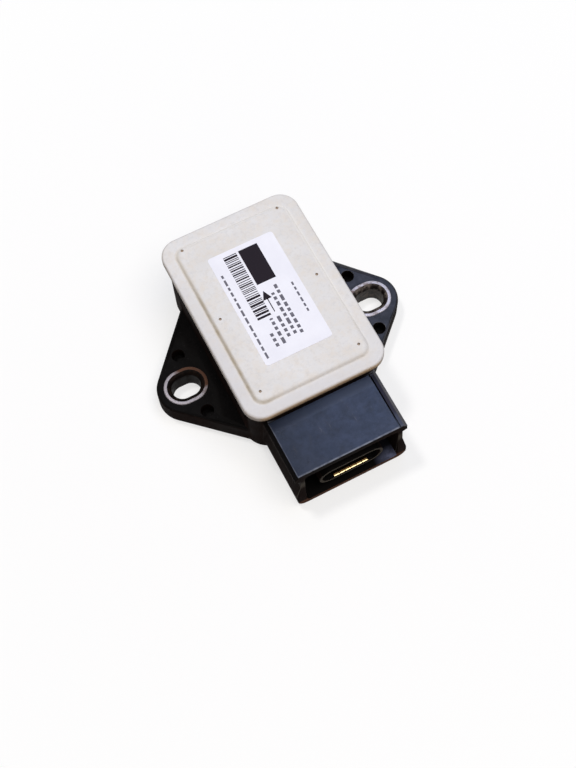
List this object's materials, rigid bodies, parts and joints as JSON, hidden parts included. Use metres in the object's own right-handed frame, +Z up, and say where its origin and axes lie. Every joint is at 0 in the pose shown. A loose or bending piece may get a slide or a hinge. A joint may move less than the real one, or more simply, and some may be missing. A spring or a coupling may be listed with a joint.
{
  "type": "yaw rate sensor",
  "caption": "Flat boxy vehicle sensor with two slotted mounting ears, a cream lid with a label and a plug socket with a row of contact blades; measures turning rate.",
  "frame": {"origin": "midway between the two mounting slots, on the underside", "axes": "+X from the left ear to the right ear, -Y towards the mouth of the plug socket, +Z up through the lid"},
  "size_m": [0.083, 0.086, 0.0281],
  "materials": {
    "black_plastic": "black glass-filled plastic, satin",
    "cream_plastic": "cream moulded plastic, satin, a little soiled",
    "sealant": "black sealant",
    "label_paper": "white printed label",
    "bush_steel": "plated steel with some rust",
    "contact_gold": "gilded contact",
    "board_laminate": "green solder resist",
    "screw_steel": "zinc plated",
    "package_plastic": "black moulding compound with tinned leads",
    "resonator_metal": "metal can",
    "ferrite": "dark grey ferrite",
    "ceramic_chip": "tan ceramic with tinned ends",
    "capacitor_can": "bare aluminium can"
  },
  "bodies": {
    "root": {"housing": "black_plastic", "cover": "cream_plastic", "cover_seal": "sealant", "label": "label_paper", "left_bush": "bush_steel", "right_bush": "bush_steel", "circuit_board": "board_laminate", "resonator": "resonator_metal", "bus_choke": "ferrite", "storage_capacitor": "capacitor_can", "terminal_1": "contact_gold", "terminal_2": "contact_gold", "terminal_3": "contact_gold", "terminal_4": "contact_gold", "terminal_5": "contact_gold", "terminal_6": "contact_gold", "board_screw_1": "screw_steel", "board_screw_2": "screw_steel", "board_screw_3": "screw_steel", "board_screw_4": "screw_steel", "ceramic_capacitor_1": "ceramic_chip", "ceramic_capacitor_2": "ceramic_chip", "ceramic_capacitor_3": "ceramic_chip", "ceramic_capacitor_4": "ceramic_chip", "yaw_element": "package_plastic", "acceleration_element": "package_plastic", "controller": "package_plastic", "bus_transceiver": "package_plastic", "voltage_regulator": "package_plastic"}
  },
  "joints": []
}
